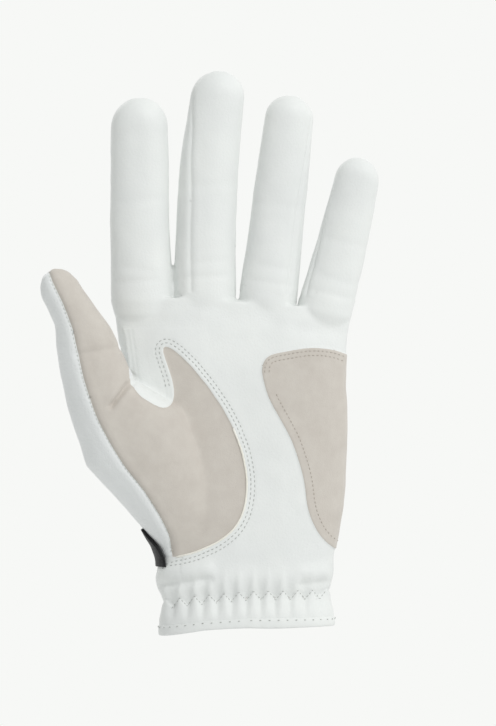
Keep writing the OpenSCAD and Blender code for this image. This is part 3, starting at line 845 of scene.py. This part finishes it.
def leatherPanel(panelName, mesh):
    # wall thickness inwards; outside normals come from the whole skin, so a panel's edge doesn't catch the light
    name = panelName + "_leather"
    normals = np.zeros(len(mesh.vertices) * 3)
    mesh.attributes["smooth"].data.foreach_get("vector", normals)
    normals = normals.reshape(-1, 3)
    faces = len(mesh.polygons)
    obj = linked(name, mesh)
    wall = obj.modifiers.new("wall", "SOLIDIFY")
    wall.thickness, wall.offset, wall.use_rim = leather, -1, True
    mesh = evaluated(obj)
    loops = np.zeros(len(mesh.loops), int)
    mesh.loops.foreach_get("vertex_index", loops)
    out = np.concatenate([normals, -normals])[loops]
    for poly in mesh.polygons[2 * faces:]:
        out[list(poly.loop_indices)] = poly.normal[:]
    mesh.transform(Matrix.Scale(mm, 4))
    mesh.attributes.remove(mesh.attributes["smooth"])
    mesh.shade_smooth()
    mesh.normals_split_custom_set(out.tolist())
    return addObject(name, mesh, finish.get(panelName, "leather"))


def separated(bm):
    # one mesh for each panel, by the number that its faces carry
    for face, kind in zip(bm.faces, kinds):
        face.material_index = int(kind)
    mesh = meshFrom(bm, "skin")
    for name in panelNames:
        mesh.materials.append(bpy.data.materials.new("cut " + name))
    obj = linked("skin", mesh)
    bpy.ops.object.select_all(action="DESELECT")
    bpy.context.view_layer.objects.active = obj
    obj.select_set(True)
    bpy.ops.object.mode_set(mode="EDIT")
    bpy.ops.mesh.separate(type="MATERIAL")
    bpy.ops.object.mode_set(mode="OBJECT")
    found = {}
    for part in list(bpy.context.selected_objects):
        index = part.data.polygons[0].material_index
        label = part.data.materials[index].name if len(part.data.materials) > 1 else part.data.materials[0].name
        found[label.replace("cut ", "")] = part.data
        bpy.data.objects.remove(part)
    for name in panelNames:
        bpy.data.materials.remove(bpy.data.materials["cut " + name])
    return found


layer = skin.verts.layers.float_vector.new("smooth")
for v in skin.verts:
    v[layer] = v.normal
cutPanels = separated(skin)
panels = {name: leatherPanel(name, cutPanels[name]) for name in panelNames[:-1]}
for name, panel in panels.items():
    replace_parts(panel, name)
print("panels made", len(panels))


for name, panel in panels.items():
    body = bodyOf.get(name)
    if body is None:
        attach(panel, "hand")
    elif body == "thumb":
        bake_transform(panel)
    else:
        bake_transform(panel)


# places on the skin, for what is sewn to it

def fromFront(x, z, front=True):
    # where a line straight through the glove meets its skin, seen from the palm or from the back
    way = 1 if front else -1
    return surface.ray_cast(Vector((x, -90 * way, z)), Vector((0, way, 0)))[:2]


def roundWrist(across, z):
    # the skin met by a fan of lines that open out round the back of the wrist; across runs from side to side
    angle = across / 34 * math.radians(70)
    way = Vector((math.sin(angle), math.cos(angle), 0))
    return surface.ray_cast(Vector((0.55 * across - 1, -2, z)) + way * 90, -way)[:2]


def spaced(points, pitch):
    # even steps along a polyline of any dimension
    pts = np.array(points, float)
    run = np.concatenate([[0], np.cumsum(np.linalg.norm(np.diff(pts, axis=0), axis=1))])
    steps = np.arange(pitch / 2, run[-1], pitch)
    return [tuple(place) for place in np.stack([np.interp(steps, run, column) for column in pts.T], axis=1)]


def finished(bm, name, material, body):
    bmesh.ops.recalc_face_normals(bm, faces=bm.faces)
    bmesh.ops.scale(bm, verts=bm.verts, vec=(mm, mm, mm))
    mesh = meshFrom(bm, name)
    mesh.shade_smooth()
    obj = addObject(name, mesh, material)
    if body:
        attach(obj, body)
    return obj


def axesAt(points, i):
    # the directions along a row, across it and off the skin at one of its places
    along = (points[min(i + 1, len(points) - 1)][0] - points[max(i - 1, 0)][0]).normalized()
    across = points[i][1].cross(along).normalized()
    return along, across, along.cross(across)


threadSettings = {"sides": 6, "rings": 4, "thickness": 0.42}


def stitchRow(name, points, length, material, body="hand", lift=0.05, thickness=threadSettings["thickness"]):
    # points are places on the skin with its normals; each stitch is a short plump bead that dips in at its ends
    bm = bmesh.new()
    for i, (place, normal) in enumerate(points):
        turned = Matrix(axesAt(points, i)).transposed().to_4x4()
        size = Matrix.Diagonal((length / 2, thickness / 2, thickness / 2, 1))
        where = Matrix.Translation(place + normal * lift)
        bmesh.ops.create_uvsphere(bm, u_segments=threadSettings["sides"], v_segments=threadSettings["rings"], radius=1,
                                  matrix=where @ turned @ size)
    return finished(bm, name, material, body)


def onSkin(flat, pitch, front=True):
    made = [fromFront(x, z, front) for x, z in spaced(flat, pitch)]
    return [(p, n) for p, n in made if p is not None]


def beside(outline, distance):
    # an open outline moved sideways
    pts = np.array(outline, float)
    way = np.gradient(pts, axis=0)
    way /= np.linalg.norm(way, axis=1)[:, None]
    return [(x - wz * distance, z + wx * distance) for (x, z), (wx, wz) in zip(pts, way)]


def stretch(outline, first, last):
    # the part of a rounded outline between its points nearest to two places
    pts = np.array(outline)
    a, b = [int(np.argmin(np.hypot(pts[:, 0] - q[0], pts[:, 1] - q[1]))) for q in (first, last)]
    return [tuple(q) for q in (pts[a:b + 1] if a <= b else np.concatenate([pts[a:], pts[:b + 1]]))]


def tubeAlong(name, points, wide, deep, material, body="hand", sink=0.0, sides=8):
    # a soft round edge: wide lies on the skin, deep stands off it
    bm = bmesh.new()
    rings = []
    for i, (place, normal) in enumerate(points):
        along, across, up = axesAt(points, i)
        ring = bmesh.ops.create_circle(bm, cap_ends=False, segments=sides, radius=1)["verts"]
        for v in ring:
            v.co = place - normal * sink + across * (v.co.x * wide / 2) + up * (v.co.y * deep / 2)
        rings.append(set(ring))
    bridgeRings(bm, rings)
    closeEnds(bm)
    return finished(bm, name, material, body)


# rows of stitches round the patches: name, part of an outline, side, pitch, length, thread
patchRows = [
    # the thenar rows use the painted-shade thread: white thread darkened for the shade in their stitch pits
    ("thenar", "thenar_stitches_%d", stretch(thenarLine, (-30, 99), (-28.8, 30.4)), 1, 1.9, 1.25, "shade thread"),
    ("heel", "heel_top_stitches_%d", stretch(heelLine, (5.8, 103.4), (39.4, 111.5)), -1, 1.7, 1.1, "taupe thread"),
    ("heel side", "heel_side_stitches_%d", stretch(heelLine, (35.5, 33), (7.7, 95.6)), -1, 1.7, 1.1, "taupe thread")]


def patchStitches(row):
    offsets, name, edge, side, pitch, length, thread = row
    for i, offset in enumerate(rowOffsets[offsets]):
        path = beside(edge, side * offset)
        if offsets == "thenar":  # these run on to the thumb side's lower corner
            path += [(-32.5, 28.6 - offset * 0.6), (-35, 27 - offset * 0.6)]
        stitchRow(name % (i + 1), onSkin(path, pitch), length, thread)


patchStitches(patchRows[0])
cutEdge = {"pitch": 1.0, "wide": 0.8, "deep": 0.75, "sink": -0.05}
tubeAlong("thenar_cut_edge", onSkin(stretch(thenarLine, (-5.8, 81.8), (-28.8, 30.4)), cutEdge["pitch"]), cutEdge["wide"],
          cutEdge["deep"], "edge", sink=cutEdge["sink"])
patchStitches(patchRows[1])
patchStitches(patchRows[2])

# white dashes beside the thumb seam; those above the thumb's root make a piece of their own
seamDashes = {"beside": 0.35, "pitch": 1.75, "length": 1.15, "lift": 0.15, "thickness": 0.5}
seamPath = [(-30.2, 32), (-31.2, 39.2), (-35, 47.2), (-41.2, 57.2), (-48.4, 66), (-54.1, 75.2), (-59.4, 85.2), (-62.9, 94.4)]
seamPath += [(x, z) for z, x in thumbSeamLine[2:-1]]
low, high = [], []
for place, normal in onSkin(beside(seamPath, seamDashes["beside"]), seamDashes["pitch"]):
    up = float((np.array(place) - thumbAxis["root"]) @ thumbWay) > thumbSplit
    (high if up else low).append((place, normal))
stitchRow("thumb_side_stitches", low, seamDashes["length"], "thread", lift=seamDashes["lift"],
          thickness=seamDashes["thickness"])
thumbStitches = stitchRow("thumb_seam_stitches", high, seamDashes["length"], "thread", body=None,
                          lift=seamDashes["lift"], thickness=seamDashes["thickness"])
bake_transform(thumbStitches)

# the zigzag over the elastic, three stitches to each leg
teeth = [wrist["start"] + wrist["pitch"] / 2 * k for k in range(1, 23)]
zigzag = []
for a, b in zip(teeth, teeth[1:]):
    za, zb = float(zigzagHeight(np.array(a))), float(zigzagHeight(np.array(b)))
    zigzag += [(a + (b - a) * t, za + (zb - za) * t) for t in (0.0, 0.33, 0.67)]
zigzagPoints = [(q, n) for q, n in (fromFront(x, z) for x, z in zigzag) if q is not None]
# the zigzag uses the painted-shade thread: white thread darkened for the shade in the puckers round it
stitchRow("wrist_zigzag_stitches", zigzagPoints, 1.15, "shade thread", lift=0.0)

# stitches round the mesh window
windowRow = {"outside": 1.5, "pitch": 1.9, "length": 1.3, "bluntness": (0.3, 0.45)}
windowPath = []
for t in np.radians(np.arange(0, 361, 3)):
    across, up = [(half + windowRow["outside"]) * math.copysign(abs(v) ** power, v)
                  for half, v, power in zip(meshBand["half"], (math.cos(t), math.sin(t)), windowRow["bluntness"])]
    windowPath.append((meshBand["x"] + across, bandMiddle(meshBand["x"] + across) + up))
stitchRow("mesh_window_stitches", onSkin(windowPath, windowRow["pitch"], front=False), windowRow["length"], "thread")
print("stitches")

# the hem: leather turned over the wrist opening and stitched along its top; its outline is outset and drop
hem = {"proud": 0.45, "height": 3.6, "steps": 128, "pitch": 3.65,
       "profile": [(-0.85, 0.25), (-0.1, 0.3), (0.75, 0.05), (1.0, -0.25), (1.05, -0.55), (1.0, -0.85), (0.5, -1.02),
                   (-0.6, -1.03), (-1.6, -0.95), (-2.0, -0.7), (-2.05, -0.35), (-1.7, 0)]}


def relax(bm, verts, factor, times):
    for _ in range(times):
        bmesh.ops.smooth_vert(bm, verts=verts, factor=factor, use_axis_x=True, use_axis_y=True, use_axis_z=True)


def wristEdge(angle):
    # the skin's lower edge in one direction from the middle of the wrist
    way = Vector((math.sin(angle), -math.cos(angle), 0))
    middle = Vector((-0.5, 0, 0))
    z = 3.0
    for _ in range(3):
        point, normal, index, far = surface.ray_cast(middle + way * 70 + Vector((0, 0, z)), -way)
        z = float(table(cuffTop, point.x)) - 1.2
    flat = Vector((normal.x, normal.y, 0)).normalized()
    return Vector((point.x, point.y, z)), flat


def rolledHem():
    edges = [wristEdge(2 * math.pi * k / hem["steps"]) for k in range(hem["steps"])]
    bm = bmesh.new()
    rings = []
    for outset, drop in hem["profile"]:
        ring = bmesh.ops.create_circle(bm, cap_ends=False, segments=hem["steps"], radius=1)["verts"]
        for v, (place, flat) in zip(ring, edges):
            height = hem["height"] + 0.25 * math.sin(place.x / 7)
            v.co = place + flat * (outset * hem["proud"]) + Vector((0, 0, min(drop, 0) * height + max(drop, 0)))
        rings.append(set(ring))
    bridgeRings(bm, rings + [rings[0]])
    gap = slitHalf(0) + 0.9
    cut = [f for f in bm.faces if f.calc_center_median().y > 5 and abs(f.calc_center_median().x - slit["x"]) < gap]
    bmesh.ops.delete(bm, geom=cut, context="FACES")
    closeEnds(bm)
    relax(bm, bm.verts, 0.3, 2)
    return finished(bm, "rolled_hem", "leather", "hand")


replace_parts(rolledHem(), "cuff_binding")
hemPoints = []
for k in range(400):
    place, flat = wristEdge(2 * math.pi * k / 400)
    if not (place.y > 5 and abs(place.x - slit["x"]) < slitHalf(0) + 1.2):
        hemPoints.append(place + flat * (hem["proud"] * 0.95) + Vector((0, 0, -0.55)))
hemRow = [Vector(q) for q in spaced(hemPoints, hem["pitch"])]
hemNormals = [wristEdge(math.atan2(q.x + 0.5, -q.y))[1] for q in hemRow]
# short dark beads of painted-shade thread: painted shade of the hem's needle holes
stitchRow("hem_stitches", list(zip(hemRow, hemNormals)), 0.95, "shade thread", lift=0.02, thickness=0.5)
print("hem")


def skinStrip(name, place, sizes, material, body):
    # a flat strip laid over the skin: place turns two shares into a point and a normal; its inner face lies at sizes["inner"]
    bm = bmesh.new()
    bmesh.ops.create_grid(bm, x_segments=sizes["segments"][0], y_segments=sizes["segments"][1], size=0.5)
    for v in bm.verts:
        point, normal = place(v.co.x + 0.5, v.co.y + 0.5)
        flat = Vector((normal.x, normal.y, normal.z * 0.3)).normalized()
        v.co = point + flat * sizes["inner"]
    relax(bm, [v for v in bm.verts if not v.is_boundary], 0.5, 4)
    bmesh.ops.recalc_face_normals(bm, faces=bm.faces)
    outwards = -1 if body == "inside" else 1
    if sum(f.normal.y * f.calc_area() for f in bm.faces) * outwards < 0:
        bmesh.ops.reverse_faces(bm, faces=bm.faces)
    obj = linked(name, meshFrom(bm, name))
    wall = obj.modifiers.new("wall", "SOLIDIFY")
    wall.thickness, wall.offset, wall.use_rim = sizes["thick"], 1, True
    edge = obj.modifiers.new("edge", "BEVEL")
    edge.width, edge.segments = min(0.3, sizes["thick"] * 0.4), 2
    edge.limit_method, edge.angle_limit = "ANGLE", math.radians(50)
    mesh = evaluated(obj)
    mesh.transform(Matrix.Scale(mm, 4))
    mesh.shade_smooth()
    made = addObject(name, mesh, material)
    if body:
        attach(made, "hand" if body == "inside" else body)
    return made


# the closure; left and right are measured round the wrist, inner is the height over the skin
tab = {"left": -29.0, "right": 27.5, "middle": 33.5, "half": 9.0, "round": 9.0, "inner": 1.95, "thick": 1.3,
       "segments": (72, 20), "bend": ((-35.5, 10.0, 33.5), (-25.0, 17.5, 33.5))}
loopPatch = {"left": -4, "right": 28.5, "low": 22.8, "high": 44.2, "inner": 0.03, "thick": 0.85, "segments": (44, 22)}
hookPatch = {"left": 0, "right": 20.5, "low": 26.6, "high": 40.4, "inner": 0.95, "thick": 0.85, "segments": (36, 16)}
anchor = {"back": 114, "front": (216, 192), "low": 26.2, "high": 41.6, "inner": 0.05, "thick": 1.0, "bridge": 1.3,
          "segments": (30, 18)}
elastic = {"left": -31, "width": 62, "low": 9.9, "height": 8.6, "inner": -1.95, "thick": 0.9, "segments": (62, 10)}


def share(low, high, t):
    return low + (high - low) * t


def tabPlace(a, b):
    across = share(tab["left"], tab["right"], a)
    past = max(0.0, (across - (tab["right"] - tab["round"])) / tab["round"])
    half = tab["half"] * max(0.06, 1 - past ** 2.4) ** 0.5
    return roundWrist(across, tab["middle"] + half * (2 * b - 1))


def patchPlace(sizes):
    def place(a, b):
        return roundWrist(share(sizes["left"], sizes["right"], a), share(sizes["low"], sizes["high"], b))
    return place


def anchorPlace(a, b):
    # a stiff end that bridges the hollow over the wrist; its front edge slants under the thumb-side piece
    turned = math.radians(share(anchor["back"], share(*anchor["front"], b), a))
    way = Vector((math.cos(turned), math.sin(turned), 0))
    start = Vector((-20, -2, share(anchor["low"], anchor["high"], b)))
    point, normal = surface.ray_cast(start + way * 90, -way)[:2]
    return point + way * (anchor["bridge"] * math.sin(math.pi * b) * float(ease((a - 0.35) / 0.3))), normal


def bendAtAnchor(piece):
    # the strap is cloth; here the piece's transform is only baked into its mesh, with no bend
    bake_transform(piece)


strap = skinStrip("closure_strap", tabPlace, tab, "tab", None)
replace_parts(strap, "closure_tab")
bendAtAnchor(strap)
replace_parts(skinStrip("hook_pad", patchPlace(hookPatch), hookPatch, "hook", "closure_tab"), "hook_patch")
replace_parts(skinStrip("loop_pad", patchPlace(loopPatch), loopPatch, "pile", "hand"), "loop_patch")
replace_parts(skinStrip("strap_anchor", anchorPlace, anchor, "tab", "hand"), "tab_anchor")

# a row of stitches along the strap's two long sides and round its end
border = [tabPlace(a, 0.09) for a in np.linspace(0.03, 0.93, 60)]
border += [tabPlace(0.955, b) for b in np.linspace(0.2, 0.8, 8)]
border += [tabPlace(a, 0.91) for a in np.linspace(0.93, 0.03, 60)]
border = [tuple(q + n * (tab["inner"] + tab["thick"])) + tuple(n) for q, n in border]
borderRow = [(Vector(q[:3]), Vector(q[3:]).normalized()) for q in spaced(border, 2.2)]
bendAtAnchor(stitchRow("strap_stitches", borderRow, 1.5, "black thread", body=None, lift=0.02, thickness=0.5))


def elasticPlace(a, b):
    return fromFront(elastic["left"] + elastic["width"] * a, elastic["low"] + elastic["height"] * b)


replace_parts(skinStrip("wrist_elastic", elasticPlace, elastic, "elastic", "inside"), "elastic_band")

# the slit's edges, bound in tape
slitPath = [(slit["x"] - slitHalf(z), z) for z in np.linspace(3.5, slit["top"] - 2, 40)]
slitPath += [(slit["x"] + slitHalf(slit["top"]) * math.sin(t), slit["top"] - 1 + 1.2 * math.cos(t))
             for t in np.radians([-60, -30, 0, 30, 60])]
slitPath += [(slit["x"] + slitHalf(z), z) for z in np.linspace(slit["top"] - 2, 3.5, 40)]


def slitPoint(x, z):
    # read just outside the gap, where there is leather
    side = 1.0 if x > slit["x"] else -1.0
    point, normal = fromFront(x + side * 0.9, z, front=False)
    return Vector((x, point.y, z)), normal


tape = {"wide": 2.6, "deep": 1.5, "sink": 0.35, "sides": 10}
slitTape = tubeAlong("slit_tape", [slitPoint(x, z) for x, z in slitPath], tape["wide"], tape["deep"], "trim",
                     sink=tape["sink"], sides=tape["sides"])
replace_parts(slitTape, "slit_binding")
print("closure and trim")

# stage, light and camera

stageSettings = {"floor": -0.35, "radius": 6.0, "behind": "#f7f8f6", "front": "#d3d5d4", "left": 0.72}  # metres


def paleStage():
    # one seamless pale shell, floor included, a little dimmer on the camera's side so that the form is shaded
    bm = bmesh.new()
    bmesh.ops.create_uvsphere(bm, u_segments=64, v_segments=32, radius=stageSettings["radius"])
    for v in bm.verts:
        v.co.z = max(v.co.z, stageSettings["floor"])
    bmesh.ops.reverse_faces(bm, faces=bm.faces)
    mesh = meshFrom(bm, "stage")
    mesh.shade_smooth()
    mat = bpy.data.materials.new("pale backdrop paper")
    mat.use_nodes = True
    tree = mat.node_tree
    tree.nodes.clear()
    coords = addNode(tree, "ShaderNodeTexCoord").outputs["Object"]
    place = addNode(tree, "ShaderNodeSeparateXYZ", links={"Vector": coords})
    depth = addNode(tree, "ShaderNodeMapRange", {"From Min": -2.5, "From Max": 1.5}, {"Value": place.outputs["Y"]})
    ramp = addNode(tree, "ShaderNodeValToRGB", links={"Fac": depth.outputs[0]})
    for stop, part in zip(ramp.color_ramp.elements, ("front", "behind")):
        stop.color = linear(stageSettings[part])
    side = addNode(tree, "ShaderNodeMapRange", {"From Min": -4.0, "From Max": -0.8, "To Min": stageSettings["left"],
                                                "To Max": 1.0}, {"Value": place.outputs["X"]})
    glow = addNode(tree, "ShaderNodeEmission", links={"Color": ramp.outputs["Color"], "Strength": side.outputs[0]})
    addNode(tree, "ShaderNodeOutputMaterial", links={0: glow.outputs[0]})
    mesh.materials.append(mat)
    linked("stage", mesh)


# soft lights: place, diameter and power
lights = {"key": ((0.85, -1.35, 1.2), 0.5, 13.5), "back": ((-0.9, 1.3, 1.0), 0.7, 4.0)}
lightTarget = Vector((0, 0, 0.11))


def areaLight(name, place, size, power):
    light = bpy.data.lights.new(name, "AREA")
    light.shape, light.size, light.energy = "DISK", size, power
    obj = linked(name, light)
    obj.location = place
    obj.rotation_euler = (lightTarget - Vector(place)).to_track_quat("-Z", "Y").to_euler()


paleStage()
for name, light in lights.items():
    areaLight(name, *light)

# level camera in front of the palm; width is what it frames at the depth of the palm's skin
cameraSettings = {"distance": 1.7, "height": 0.108, "width": 0.1984, "palm": 0.012, "sensor": 36, "clip": 20}
camera = bpy.data.cameras.new("camera")
camera.sensor_fit, camera.sensor_width = "HORIZONTAL", cameraSettings["sensor"]
camera.lens = cameraSettings["sensor"] * (cameraSettings["distance"] - cameraSettings["palm"]) / cameraSettings["width"]
camera.clip_end = cameraSettings["clip"]
cameraObject = linked("camera", camera)
cameraObject.location = (0, -cameraSettings["distance"], cameraSettings["height"])
cameraObject.rotation_euler = (math.radians(90), 0, 0)
bpy.context.scene.camera = cameraObject
bpy.context.scene.view_settings.view_transform = "Standard"
print("stage")
